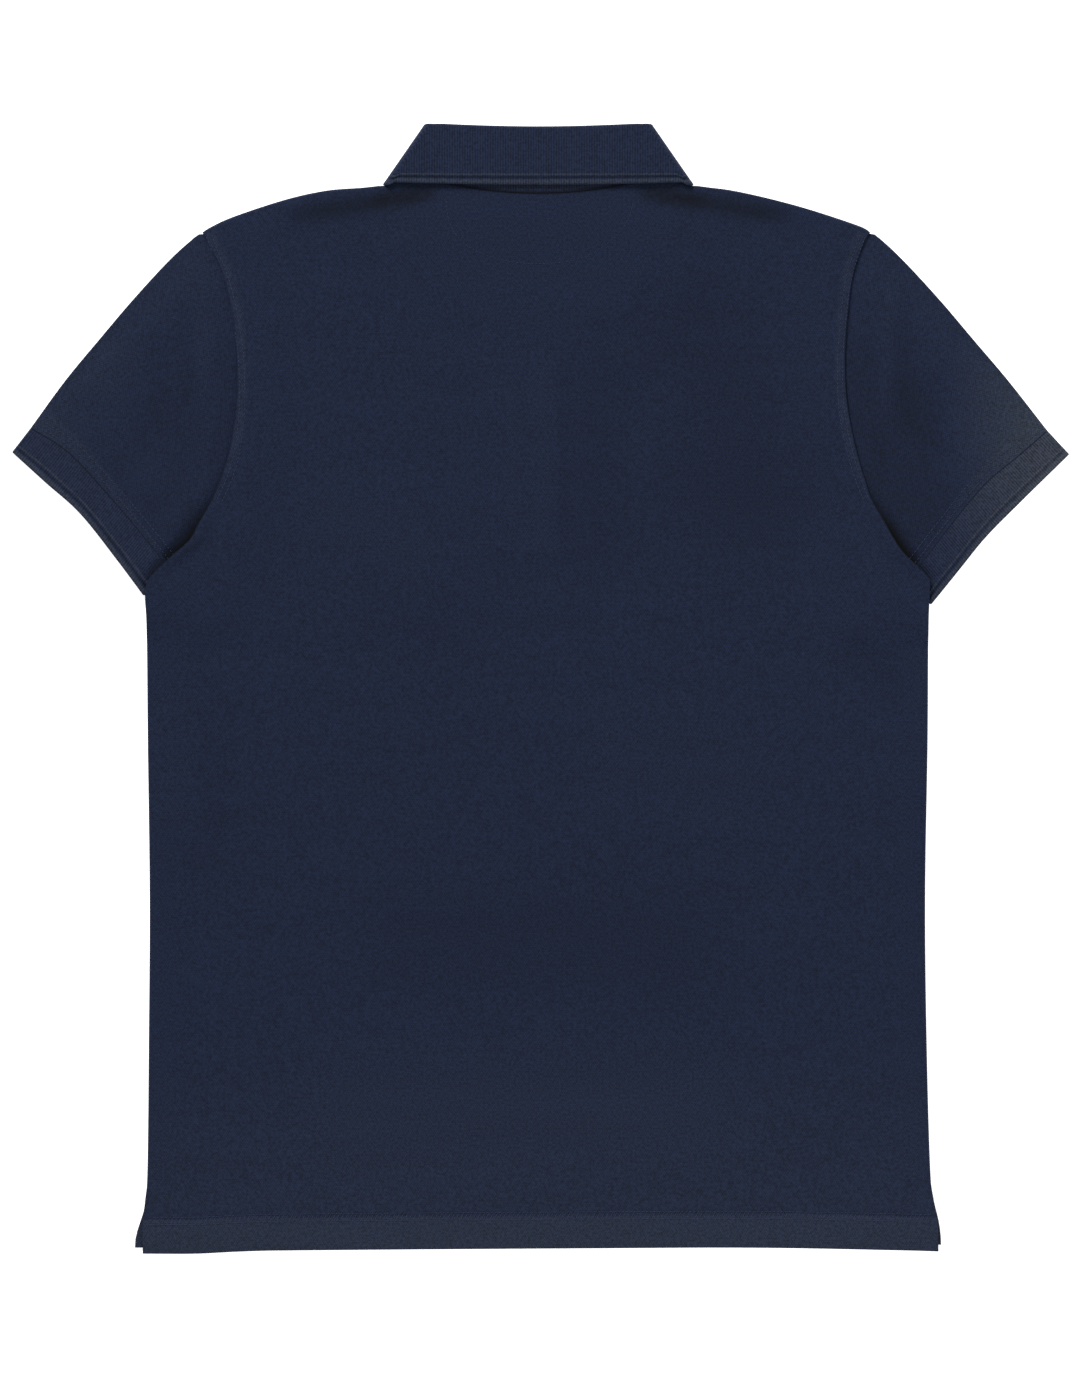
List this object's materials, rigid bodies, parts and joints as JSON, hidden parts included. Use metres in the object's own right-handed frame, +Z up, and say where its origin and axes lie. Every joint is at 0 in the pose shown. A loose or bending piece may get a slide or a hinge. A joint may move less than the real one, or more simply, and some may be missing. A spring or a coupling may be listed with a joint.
{
  "type": "polo shirt",
  "caption": "Short-sleeved polo shirt laid flat on its front, with a folded rib collar, buttoned placket, rib cuffs, doubled hem and side vents.",
  "frame": {"origin": "middle of the laid-out shirt, on the surface that it lies on", "axes": "+Z up from the surface, out of the shirt's back; +Y along the shirt from the hem to the collar; +X to the wearer's right sleeve"},
  "size_m": [0.7181, 0.7675, 0.0098],
  "materials": {
    "pique_knit": "matt navy cotton pique knit",
    "rib_knit": "matt navy flat-knitted cotton rib",
    "button_plastic": "polished dark navy polyester"
  },
  "bodies": {
    "root": {"front_panel": "pique_knit", "back_panel": "pique_knit", "sleeve_left": "pique_knit", "cuff_left": "rib_knit", "sleeve_right": "pique_knit", "cuff_right": "rib_knit", "collar": "rib_knit", "placket_upper": "pique_knit", "placket_under": "pique_knit", "button_1": "button_plastic", "button_2": "button_plastic", "button_3": "button_plastic"}
  },
  "joints": []
}
